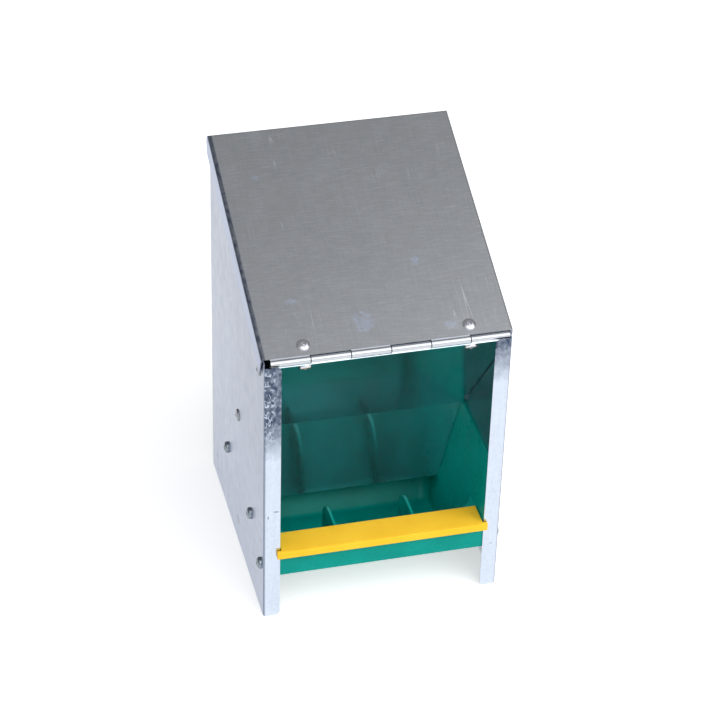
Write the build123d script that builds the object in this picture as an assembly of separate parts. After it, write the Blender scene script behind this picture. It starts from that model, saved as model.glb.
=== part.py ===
from build123d import *
import math
import os

# Grit feeder for poultry, standing on its side panels, in millimetres.
# +Z is up and the birds feed from the front, which faces -Y.
# The pieces are drawn with y = 0 on the front face of the housing
# and are moved to the middle of the footprint when they are written.

# Housing, folded from one galvanised sheet
housing_width = 186.0
housing_depth = 198.0
housing_sheet = 0.8
housing_bend_radius = 2.5
front_flange_width = 12.8
front_flange_top = 236.0
flange_top_radius = 4.0
flange_foot_radius = 4.5
hanging_hole_diameter = 6.0
hanging_hole_spacing = 100.0
hanging_hole_drop = 25.0

# Lid with folded edges, sloped to shed rain
lid_slope_deg = 20.8
lid_sheet = 0.8
lid_bend_radius = 2.0
lid_side_lip = 16.0
lid_rear_lip = 7.0
lid_lip_cutback = 5.5
lid_side_gap = 0.8
lid_seat_gap = 0.4
lid_rear_gap = 0.8
lid_front_reach = 1.9

# Continuous hinge under the front edge of the lid
hinge_axis_y = 4.4
hinge_axis_z = 236.8
hinge_pin_diameter = 3.0
hinge_pin_clearance = 0.06
hinge_leaf_sheet = 1.0
hinge_leaf_reach = 16.0
knuckle_length = 30.0
knuckle_count = 6
knuckle_gap = 0.3
hinge_end_gap = 0.3
hinge_pin_inset = 1.0

# Hopper plate, one sheet bent where the slope meets the drop;
# the bend is given on the middle line of the sheet
plate_sheet = 0.8
plate_bend_y = 104.4
plate_bend_z = 102.1
plate_bend_radius = 2.0
plate_drop_lean_deg = 2.9
plate_edge_z = 33.2
plate_top_setback = 1.3
plate_side_gap = 0.4
plate_tray_gap = 0.4
plate_flange_width = 13.0
plate_flange_start = 14.6
plate_flange_end = 158.0
plate_flange_radius = 4.0
plate_flange_relief = 0.8

# Moulded feed tray
tray_wall = 2.2
tray_side_gap = 0.2
tray_front_gap = 0.2
tray_rear_gap = 0.3
tray_skirt_z = 39.2
tray_skirt_radius = 3.0
tray_rim_z = 103.0
tray_rim_width = 1.8
tray_ledge_z = 62.0
tray_ledge_y = 20.5
tray_end_slant_deg = 14.3
tray_front_slope_deg = 56.5
tray_floor_z = 6.0
tray_chute_top_drop = 7.3
tray_chute_slope_deg = 45.0
tray_corner_radius = 20.0
tray_chute_radius = 8.0
tray_floor_radius = 6.0
fin_spacing = 62.0
fin_thickness = 2.0
fin_top_z = 59.4
fin_fall_deg = 2.5
fin_rear_y = 65.0
fin_corner_radius = 21.5
gate_mark_diameter = 4.6
gate_mark_height = 1.6
gate_mark_y = 90.0
boss_diameter = 8.6
boss_end_wall = 1.6

# Edge strip over the front ledge of the tray
strip_length = 165.6
strip_sheet = 2.5
strip_lip_depth = 2.9
strip_lip_height = 6.5
strip_flange_gap = 0.3
strip_end_gap = 0.3
strip_tray_gap = 0.2
strip_edge_radius = 1.2

# Blind rivets, with flat bands for the dome of the head and the belly of the bulb
rivet_head_diameter = 9.8
rivet_head_height = 1.7
rivet_shoulder_diameter = 8.8
rivet_shoulder_height = 0.8
rivet_crown_diameter = 6.6
rivet_crown_height = 1.45
rivet_shank_diameter = 4.8
rivet_hole_clearance = 0.3
rivet_bulb_diameter = 6.8
rivet_bulb_length = 3.4
rivet_bulb_waist = 1.8
rivet_mandrel_diameter = 2.6
rivet_mandrel_depth = 1.0
hinge_rivet_start = 26.6
hinge_rivet_spacing = 124.5
lid_rivet_reach = 10.9
leaf_rivet_reach = 7.0
plate_rivet_reaches = (19.3, 142.7)
plate_rivet_inset = 6.3

# Pan-head tapping screws that hold the tray
screw_head_diameter = 9.4
screw_head_height = 3.0
screw_rim_height = 1.2
screw_brow_diameter = 7.8
screw_brow_height = 2.5
screw_crown_diameter = 5.4
screw_shank_diameter = 4.2
screw_shank_length = 9.0
screw_tip_chamfer = 0.8
screw_hole_clearance = 0.3
screw_end_gap = 0.3
screw_recess_length = 5.0
screw_recess_width = 1.1
screw_recess_depth = 1.7
tray_screw_places = {"front": (11.2, 45.4), "middle": (47.9, 64.8), "rear": (134.1, 63.4)}

# Larger than any piece, for cutting tools that reach past both faces
beyond = 400.0

# Sizes that follow from the ones above
outer_x = housing_width / 2
inner_x = outer_x - housing_sheet
slope = math.radians(lid_slope_deg)
eye_radius = hinge_pin_diameter / 2 + hinge_pin_clearance
barrel_radius = eye_radius + hinge_leaf_sheet
hinge_length = knuckle_length * knuckle_count
hinge_left_x = inner_x - hinge_end_gap - hinge_length
hinge_middle_x = hinge_left_x + hinge_length / 2
hinge_rivet_left_x = hinge_left_x + hinge_rivet_start
hinge_rivet_xs = (hinge_rivet_left_x, hinge_rivet_left_x + hinge_rivet_spacing)
rivet_hole_radius = rivet_shank_diameter / 2 + rivet_hole_clearance
screw_hole_radius = screw_shank_diameter / 2 + screw_hole_clearance
leaf_grip = hinge_leaf_sheet + lid_sheet
tray_front_y = housing_sheet + tray_front_gap
tray_rear_y = housing_depth - housing_sheet - tray_rear_gap
tray_side_x = inner_x - tray_side_gap
chute_rise = tray_rim_z - tray_chute_top_drop - tray_floor_z
chute_run = chute_rise / math.tan(math.radians(tray_chute_slope_deg))
tray_floor_rear_y = tray_rear_y - tray_wall - chute_run

# Lid frame: x across, y up the slope from the hinge axis, z square to the lid
lid_up = (0, -math.sin(slope), math.cos(slope))
lid_frame = Plane((0, hinge_axis_y, hinge_axis_z), (1, 0, 0), lid_up)
lid_under = barrel_radius
lid_top = lid_under + lid_sheet
lid_low = lid_top - lid_side_lip
lid_corner_level = lid_under - lid_seat_gap
lid_corner_reach = (housing_depth - hinge_axis_y) / math.cos(slope) + lid_corner_level * math.tan(slope)
lid_rear_reach = lid_corner_reach + lid_rear_gap + lid_sheet

# Plate frame: x across, y down the plate from the hinge axis, z up into the hopper
plate_middle = -(barrel_radius + plate_sheet / 2)
plate_front = -(barrel_radius + plate_sheet)
bend_back = plate_bend_y - hinge_axis_y
bend_down = hinge_axis_z - plate_bend_z
plate_slope = math.atan2(bend_down, bend_back) - math.asin(-plate_middle / math.hypot(bend_back, bend_down))
plate_up = (0, math.sin(plate_slope), math.cos(plate_slope))
plate_frame = Plane((0, hinge_axis_y, hinge_axis_z), (1, 0, 0), plate_up)


def block(x_from, x_to, y_from, y_to, z_from, z_to):
    """Make a block between two corners."""
    middle = ((x_from + x_to) / 2, (y_from + y_to) / 2, (z_from + z_to) / 2)
    return Pos(*middle) * Box(x_to - x_from, y_to - y_from, z_to - z_from)


def across(profile, x_from, x_to):
    """Extrude a profile drawn in (y, z) from x_from to x_to."""
    return extrude(Plane.YZ.offset(x_from) * profile, amount=x_to - x_from, dir=(1, 0, 0))


def along(profile, y_from, y_to):
    """Extrude a profile drawn in (x, z) from y_from to y_to."""
    return extrude(Plane.XZ.offset(-y_to) * profile, amount=y_to - y_from, dir=(0, -1, 0))


def outline(*points):
    """Make a flat face from corner points."""
    return Polygon(*points, align=None)


def lid_underside_z(y):
    """Height of the underside of the closed lid above a place y."""
    return hinge_axis_z + lid_under / math.cos(slope) + (y - hinge_axis_y) * math.tan(slope)


def on_side(side, y, z):
    """Location on the outer face of a side panel, facing out; side is -1 or 1."""
    face = Plane((side * outer_x, y, z), (0, side, 0), (side, 0, 0))
    return face.location


def plate_rivet_place(reach):
    """Where (y, z) a rivet goes through a side panel and the flange of the plate."""
    place = plate_frame.from_local_coords((0, reach, plate_front + plate_rivet_inset))
    return place.Y, place.Z


def blind_rivet(grip):
    """A set blind rivet along +Z: head on z = 0, bulb below the clamped sheets."""
    head = rivet_head_diameter / 2
    shank = rivet_shank_diameter / 2
    bulb = rivet_bulb_diameter / 2
    mandrel = rivet_mandrel_diameter / 2
    half = outline(
        (0, -grip - rivet_bulb_length),
        (0, rivet_head_height - rivet_mandrel_depth),
        (mandrel, rivet_head_height - rivet_mandrel_depth),
        (mandrel, rivet_head_height),
        (rivet_crown_diameter / 2, rivet_crown_height),
        (rivet_shoulder_diameter / 2, rivet_shoulder_height),
        (head, 0),
        (shank, 0),
        (shank, -grip),
        (bulb, -grip),
        (bulb, -grip - rivet_bulb_waist),
        (mandrel, -grip - rivet_bulb_length),
    )
    return revolve(Plane.XZ * half, Axis.Z)


def pan_screw():
    """A tapping screw along +Z: pan head on z = 0 with a cross recess."""
    head = screw_head_diameter / 2
    shank = screw_shank_diameter / 2
    tip = -screw_shank_length
    half = outline(
        (0, screw_head_height),
        (screw_crown_diameter / 2, screw_head_height),
        (screw_brow_diameter / 2, screw_brow_height),
        (head, screw_rim_height),
        (head, 0),
        (shank, 0),
        (shank, tip + screw_tip_chamfer),
        (shank - screw_tip_chamfer, tip),
        (0, tip),
    )
    bar = Box(screw_recess_length, screw_recess_width, screw_recess_depth)
    recess = Pos(0, 0, screw_head_height - screw_recess_depth / 2) * (bar + Rot(0, 0, 90) * bar)
    return revolve(Plane.XZ * half, Axis.Z) - recess


def make_housing():
    """One sheet folded into a back, two sides and two narrow front flanges."""
    middle = housing_sheet / 2
    flange_x = outer_x - front_flange_width
    path = FilletPolyline(
        (-flange_x, middle),
        (-outer_x + middle, middle),
        (-outer_x + middle, housing_depth - middle),
        (outer_x - middle, housing_depth - middle),
        (outer_x - middle, middle),
        (flange_x, middle),
        radius=housing_bend_radius - middle,
    )
    body = extrude(trace(path, line_width=housing_sheet), amount=lid_underside_z(housing_depth))

    # The top edges of the panels run parallel to the closed lid
    lid_gap = lid_frame * Pos(0, 0, lid_corner_level + beyond / 2)
    body -= lid_gap * Box(beyond, 2 * beyond, beyond)

    # The front flanges stop below the hinge and are rounded at their free corners
    body -= block(-beyond, beyond, -beyond, housing_bend_radius, front_flange_top, beyond)
    corners = body.edges().filter_by(Axis.Y).filter_by_position(Axis.Y, 0, housing_sheet)
    inner = corners.filter_by_position(Axis.X, -flange_x - middle, flange_x + middle)
    feet = inner.group_by(Axis.Z)[0]
    tops = inner.group_by(Axis.Z)[-1]
    body = fillet(feet, flange_foot_radius)
    tops = [edge for edge in body.edges().filter_by(Axis.Y) if any(same_place(edge, top) for top in tops)]
    body = fillet(tops, flange_top_radius)

    for side in (-1, 1):
        for reach in plate_rivet_reaches:
            body -= on_side(side, *plate_rivet_place(reach)) * Cylinder(rivet_hole_radius, 4 * housing_sheet)
        for y, z in tray_screw_places.values():
            body -= on_side(side, y, z) * Cylinder(screw_hole_radius, 4 * housing_sheet)
        back_top = lid_underside_z(housing_depth)
        hole = Cylinder(hanging_hole_diameter / 2, 4 * housing_sheet, rotation=(90, 0, 0))
        body -= Pos(side * hanging_hole_spacing / 2, housing_depth, back_top - hanging_hole_drop) * hole
    return body


def same_place(edge, other):
    """Whether two edges have the same middle."""
    return (edge.center() - other.center()).length < 0.01


def make_lid():
    """Lid sheet with two side lips and a short rear lip, over the housing."""
    lid_x = outer_x + lid_side_gap + lid_sheet
    rear_inner = lid_rear_reach - lid_sheet
    outer = block(-lid_x, lid_x, lid_front_reach, lid_rear_reach, lid_low, lid_top)
    rim = outer.faces().sort_by(Axis.Z)[-1].edges().sort_by(Axis.Y)[1:]
    outer = fillet(rim, lid_bend_radius)
    room_x = lid_x - lid_sheet
    room = block(-room_x, room_x, lid_front_reach - 1, rear_inner, lid_low - 1, lid_under)
    rim = room.faces().sort_by(Axis.Z)[-1].edges().sort_by(Axis.Y)[1:]
    lid = outer - fillet(rim, lid_bend_radius - lid_sheet)

    # The rear lip is short, and the side lips are cut back to meet it
    rear_low = lid_top - lid_rear_lip
    lid -= block(-room_x, room_x, rear_inner - lid_bend_radius, lid_rear_reach + 1, lid_low - 1, rear_low)
    cutback = outline(
        (lid_rear_reach - lid_lip_cutback, lid_low - 1),
        (lid_rear_reach - lid_lip_cutback, lid_low),
        (lid_rear_reach, rear_low),
        (lid_rear_reach + 1, rear_low),
        (lid_rear_reach + 1, lid_low - 1),
    )
    lid -= across(cutback, -beyond, beyond)
    for x in hinge_rivet_xs:
        lid -= Pos(x, lid_rivet_reach, lid_top) * Cylinder(rivet_hole_radius, 4 * lid_sheet)
    return lid_frame * lid


def hinge_leaf(first, level, rivet_reach):
    """A hinge leaf rolled into every second knuckle, drawn about its own axis.

    first is the knuckle it begins with, counted from the left, and level is
    1 for a leaf on the upper tangent of the barrel and -1 for one on the lower.
    """
    top = level * barrel_radius
    under = level * (barrel_radius - hinge_leaf_sheet)
    low, high = min(top, under), max(top, under)
    notch = math.sqrt((barrel_radius + knuckle_gap) ** 2 - (barrel_radius - hinge_leaf_sheet) ** 2)
    right_x = hinge_left_x + hinge_length
    leaf = block(hinge_left_x, right_x, notch, hinge_leaf_reach, low, high)
    for index in range(first, knuckle_count, 2):
        x_from = hinge_left_x + index * knuckle_length + knuckle_gap / 2
        x_to = x_from + knuckle_length - knuckle_gap
        barrel = Cylinder(barrel_radius, x_to - x_from, rotation=(0, 90, 0))
        leaf += block(x_from, x_to, 0, notch, low, high)
        leaf += Pos((x_from + x_to) / 2, 0, 0) * barrel
    leaf -= Pos(hinge_middle_x, 0, 0) * Cylinder(eye_radius, beyond, rotation=(0, 90, 0))
    for x in hinge_rivet_xs:
        leaf -= Pos(x, rivet_reach, 0) * Cylinder(rivet_hole_radius, beyond)
    return leaf


def make_hopper_plate():
    """Sloped sheet with side flanges, bent to a drop that ends over the trough."""
    top = plate_frame.from_local_coords((0, plate_top_setback, plate_middle))
    drop = plate_bend_z - plate_edge_z
    edge_y = plate_bend_y - drop * math.tan(math.radians(plate_drop_lean_deg))
    path = FilletPolyline(
        (top.Y, top.Z),
        (plate_bend_y, plate_bend_z),
        (edge_y, plate_edge_z),
        radius=plate_bend_radius,
    )
    plate_x = inner_x - plate_side_gap
    sheet = across(trace(path, line_width=plate_sheet), -plate_x, plate_x)

    # Below the rim of the tray the sheet narrows with the slanted ends
    rim = tray_rim_z + plate_tray_gap
    low_x = tray_half_width(0) - plate_tray_gap
    rim_x = tray_half_width(rim) - plate_tray_gap
    narrow = outline((-low_x, 0), (low_x, 0), (rim_x, rim), (-rim_x, rim))
    keep = along(narrow, 0, housing_depth) + block(-beyond, beyond, 0, housing_depth, rim, beyond)
    sheet &= keep

    # The flanges are bent up into the hopper, flat against the side panels
    flange_x = inner_x - plate_sheet / 2
    flange_top = plate_front + plate_flange_width
    channel = FilletPolyline(
        (-flange_x, flange_top),
        (-flange_x, plate_middle),
        (flange_x, plate_middle),
        (flange_x, flange_top),
        radius=plate_bend_radius,
    )
    channel = along(trace(channel, line_width=plate_sheet), plate_flange_start, plate_flange_end)
    free_corners = channel.edges().filter_by(Axis.X).group_by(Axis.Z)[-1]
    free_corners = free_corners.filter_by(lambda edge: edge.length < 2 * plate_sheet)
    channel = fillet(free_corners, plate_flange_radius)
    for side in (-1, 1):
        for reach in plate_rivet_reaches:
            hole = Cylinder(rivet_hole_radius, 8 * plate_sheet, rotation=(0, 90, 0))
            channel -= Pos(side * flange_x, reach, plate_front + plate_rivet_inset) * hole
    bend_x = inner_x - plate_bend_radius - plate_sheet
    wing = block(
        bend_x,
        beyond,
        plate_flange_start - plate_flange_relief,
        plate_flange_end + plate_flange_relief,
        plate_front - 1,
        plate_front + 2,
    )
    sheet -= plate_frame * wing
    sheet -= plate_frame * mirror(wing, about=Plane.YZ)
    plate = sheet + plate_frame * channel
    for x in hinge_rivet_xs:
        hole = Cylinder(rivet_hole_radius, 4 * plate_sheet)
        plate -= plate_frame * Pos(x, leaf_rivet_reach, plate_middle) * hole
    return plate


def tray_half_width(z):
    """Half of the inside width of the tray at a height, between its slanted ends."""
    rim_x = tray_side_x - tray_rim_width
    return rim_x - (tray_rim_z - z) * math.tan(math.radians(tray_end_slant_deg))


def trough(growth):
    """The open inside of the tray, grown outwards by a wall thickness."""
    front_slope = math.radians(tray_front_slope_deg)
    high = tray_rim_z + tray_wall
    floor_front_y = tray_ledge_y + (tray_ledge_z - tray_floor_z) / math.tan(front_slope)
    high_front_y = tray_ledge_y - (high - tray_ledge_z) / math.tan(front_slope)
    rear_y = tray_rear_y - tray_wall
    side_view = outline(
        (high_front_y, high),
        (floor_front_y, tray_floor_z),
        (tray_floor_rear_y, tray_floor_z),
        (rear_y, tray_floor_z + chute_rise),
        (rear_y, high),
    )
    front_view = outline(
        (-tray_half_width(-high), -high),
        (tray_half_width(-high), -high),
        (tray_half_width(high), high),
        (-tray_half_width(high), high),
    )
    ledge_z = tray_ledge_z - growth
    if growth:
        side_view = offset(side_view, growth, kind=Kind.INTERSECTION)
        front_view = offset(front_view, growth, kind=Kind.INTERSECTION)
    ends = along(front_view, -housing_depth, 2 * housing_depth)
    pocket = across(side_view, -outer_x, outer_x) & ends

    # The corners at the slanted ends are rounded first, then the edge of the floor.
    # The front corners take no more than half of a short floor.
    corner_radius = min(tray_corner_radius, (tray_floor_rear_y - floor_front_y) / 2)
    side_edges = pocket.edges().filter_by(lambda edge: abs(edge.center().X) > fin_spacing / 2)
    sloped = side_edges.filter_by(lambda edge: abs(edge.tangent_at(0.5).Z) > 0.1)
    front_edges = sloped.filter_by(lambda edge: edge.center().Y < floor_front_y)
    pocket = fillet(front_edges, corner_radius + growth)
    side_edges = pocket.edges().filter_by(lambda edge: abs(edge.center().X) > fin_spacing / 2)
    sloped = side_edges.filter_by(lambda edge: abs(edge.tangent_at(0.5).Z) > 0.1)
    chute_edges = sloped.filter_by(
        lambda edge: edge.center().Y > tray_floor_rear_y and abs(edge.tangent_at(0.5).Y) > 0.5
    )
    pocket = fillet(chute_edges, tray_chute_radius + growth)
    floor_edges = pocket.faces().sort_by(Axis.Z)[0].edges()
    pocket = fillet(floor_edges, tray_floor_radius + growth)
    above = block(-beyond, beyond, -housing_depth, tray_floor_rear_y, ledge_z, high) & ends
    return pocket + above


def make_feed_tray():
    """Moulded tray: trough, ledge, chute and skirts, with two fins in the trough."""
    inside = trough(0)
    outside = trough(tray_wall)
    envelope = block(-tray_side_x, tray_side_x, tray_front_y, tray_rear_y, 0, tray_rim_z)
    envelope = fillet(envelope.edges().filter_by(Axis.Z), tray_skirt_radius)
    skirts = envelope - block(-beyond, beyond, -beyond, beyond, -1, tray_skirt_z)
    hollow = block(
        -tray_side_x + tray_wall,
        tray_side_x - tray_wall,
        tray_front_y + tray_wall,
        tray_rear_y - tray_wall,
        -1,
        tray_rim_z - tray_wall,
    )
    tray = (skirts + outside) & envelope
    tray -= hollow - outside

    # Bosses behind the side skirts take the screws
    screw_end_x = outer_x - screw_shank_length - screw_end_gap
    boss_end_x = screw_end_x - boss_end_wall
    for side in (-1, 1):
        for y, z in tray_screw_places.values():
            boss = Cylinder(boss_diameter / 2, tray_side_x - boss_end_x, rotation=(0, 90, 0))
            tray += Pos(side * (tray_side_x + boss_end_x) / 2, y, z) * boss
    tray -= inside
    for side in (-1, 1):
        for y, z in tray_screw_places.values():
            hole = Cylinder(screw_hole_radius, outer_x - screw_end_x, rotation=(0, 90, 0))
            tray -= Pos(side * (outer_x + screw_end_x) / 2, y, z) * hole

    # Fins across the trough keep the birds from raking the grit out
    fall = (fin_rear_y - tray_ledge_y) * math.tan(math.radians(fin_fall_deg))
    fin = outline(
        (tray_ledge_y, fin_top_z),
        (fin_rear_y, fin_top_z - fall),
        (fin_rear_y, 0),
        (tray_ledge_y, 0),
    )
    fin = fillet(fin.vertices().group_by(Axis.X)[-1].sort_by(Axis.Y)[-1], fin_corner_radius)
    for side in (-1, 1):
        x = side * fin_spacing / 2
        tray += across(fin, x - fin_thickness / 2, x + fin_thickness / 2) & outside
    gate_mark = Cylinder(gate_mark_diameter / 2, gate_mark_height + tray_wall / 2)
    tray += Pos(0, gate_mark_y, tray_floor_z + (gate_mark_height - tray_wall / 2) / 2) * gate_mark
    return tray


def make_edge_strip():
    """Rounded strip on the front ledge, its lip hooked over the front of the tray."""
    top_z = tray_ledge_z + strip_sheet
    low_z = top_z - strip_lip_height
    lip_rear_y = -strip_flange_gap
    front_y = lip_rear_y - strip_lip_depth
    hook_y = tray_front_y - strip_tray_gap
    between_x = tray_half_width(tray_ledge_z) - strip_end_gap
    profile = outline(
        (front_y, low_z),
        (hook_y, low_z),
        (hook_y, tray_ledge_z),
        (tray_ledge_y, tray_ledge_z),
        (tray_ledge_y, top_z),
        (front_y, top_z),
    )
    strip = across(profile, -between_x, between_x)
    strip += block(-strip_length / 2, strip_length / 2, front_y, lip_rear_y, low_z, top_z)
    ends = strip.edges().filter_by(Axis.Z).filter_by(lambda edge: edge.center().Y < front_y + 0.1)
    strip = fillet(ends, strip_edge_radius)
    rear_top = strip.edges().filter_by(Axis.X).group_by(Axis.Z)[-1].sort_by(Axis.Y)[-1]
    strip = fillet(rear_top, strip_edge_radius)
    front_face = strip.faces().sort_by(Axis.Y)[0]
    strip = fillet(front_face.edges(), strip_edge_radius)
    return strip


pieces = {
    "housing": make_housing(),
    "hopper_plate": make_hopper_plate(),
    "feed_tray": make_feed_tray(),
    "edge_strip": make_edge_strip(),
    "lid": make_lid(),
    "lid_hinge_leaf": lid_frame * hinge_leaf(0, 1, lid_rivet_reach),
    "body_hinge_leaf": plate_frame * hinge_leaf(1, -1, leaf_rivet_reach),
}
pin = Cylinder(hinge_pin_diameter / 2, hinge_length - 2 * hinge_pin_inset, rotation=(0, 90, 0))
pieces["hinge_pin"] = Pos(hinge_middle_x, hinge_axis_y, hinge_axis_z) * pin
for side, x in zip(("left", "right"), hinge_rivet_xs):
    on_lid = lid_frame * Pos(x, lid_rivet_reach, lid_top)
    on_plate = plate_frame * Pos(x, leaf_rivet_reach, plate_front) * Rot(180, 0, 0)
    pieces[f"lid_rivet_{side}"] = on_lid * blind_rivet(leaf_grip)
    pieces[f"leaf_rivet_{side}"] = on_plate * blind_rivet(leaf_grip)
for side, sign in (("left", -1), ("right", 1)):
    for level, reach in zip(("upper", "lower"), plate_rivet_reaches):
        place = on_side(sign, *plate_rivet_place(reach))
        pieces[f"plate_rivet_{side}_{level}"] = place * blind_rivet(housing_sheet + plate_sheet)
    for where, (y, z) in tray_screw_places.items():
        pieces[f"tray_screw_{side}_{where}"] = on_side(sign, y, z) * pan_screw()

# The middle of the footprint is halfway between the strip and the rear lip of the lid
front_most_y = -strip_flange_gap - strip_lip_depth
rear_most_y = lid_frame.from_local_coords((0, lid_rear_reach, lid_top - lid_rear_lip)).Y
to_middle = Pos(0, -(front_most_y + rear_most_y) / 2, 0)

os.makedirs("parts", exist_ok=True)
for name, piece in pieces.items():
    export_step(to_middle * piece, f"parts/{name}.step")
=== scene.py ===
"""Grit feeder: finishes, fine pieces, floor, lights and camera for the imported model.

Sizes are in metres where nothing else is said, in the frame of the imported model:
+Z up, the feeding side faces -Y, and the origin is on the ground in the middle of
the footprint.
"""

import logging
import math
from dataclasses import dataclass
from enum import Enum
from typing import Callable, Iterable, Iterator, Sequence

import bpy
from mathutils import Matrix, Vector

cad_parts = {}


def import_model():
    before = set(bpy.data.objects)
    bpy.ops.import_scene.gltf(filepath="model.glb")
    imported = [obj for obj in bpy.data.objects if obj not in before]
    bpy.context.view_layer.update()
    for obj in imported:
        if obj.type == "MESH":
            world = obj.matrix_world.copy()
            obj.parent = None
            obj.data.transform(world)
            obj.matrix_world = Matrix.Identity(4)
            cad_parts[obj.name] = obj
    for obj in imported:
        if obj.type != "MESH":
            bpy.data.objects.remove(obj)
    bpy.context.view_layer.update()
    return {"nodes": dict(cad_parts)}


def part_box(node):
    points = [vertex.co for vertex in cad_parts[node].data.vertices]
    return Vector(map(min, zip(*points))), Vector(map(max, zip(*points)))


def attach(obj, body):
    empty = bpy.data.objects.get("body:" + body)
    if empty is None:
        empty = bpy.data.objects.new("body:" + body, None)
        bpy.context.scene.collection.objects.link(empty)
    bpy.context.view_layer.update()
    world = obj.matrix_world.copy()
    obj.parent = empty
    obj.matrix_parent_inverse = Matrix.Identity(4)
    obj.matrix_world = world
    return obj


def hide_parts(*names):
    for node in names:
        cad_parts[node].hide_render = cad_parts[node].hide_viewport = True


LOG = logging.getLogger("grit_feeder")
MM = 0.001
CELL_RANGE = (0.2, 0.8)  # where most of the grey of irregular cells lies
EDGE_GRAIN = 0.7  # size of the waves in a mark's edge, as a share of the mark
EDGE_OCTAVES = 3.0
EDGE_RANGE = (0.6, 1.1)  # where a mark fades, as shares of its half size
NOISE_SPREAD = 0.25  # how far most of a noise keeps from its middle
MIX_LOW, MIX_HIGH = 6, 7  # colour inputs of the mix node
FACING = 0.9  # least share of a normal along an axis for a face that looks along it

Colour = tuple[float, float, float]
Numbers = Sequence[float]
Marks = Sequence[Sequence[Numbers]]
Object = bpy.types.Object
Material = bpy.types.Material
Socket = bpy.types.NodeSocket
Layers = Iterator[tuple[Socket, Colour]]  # where each layer lies, and its colour


class Slot(Enum):
    """Material slots of the record for new pieces, which nothing reads."""

    RIVET = "rivet_aluminium"
    SCREW = "screw_steel"
    YELLOW = "yellow_plastic"


class Body(Enum):
    """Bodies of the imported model."""

    HOUSING = "housing"
    LID = "lid"


@dataclass(frozen=True)
class Pattern:
    """A noise mapped to values, least up to start and most from full on; its size is in millimetres."""

    size: float
    octaves: float
    start: float
    full: float
    most: float = 1.0
    least: float = 0.0
    stretch: Numbers | None = None


@dataclass(frozen=True)
class Relief:
    """A fine relief from a noise, in millimetres."""

    size: float
    depth: float
    octaves: float = 1.0
    stretch: Numbers | None = None


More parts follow.
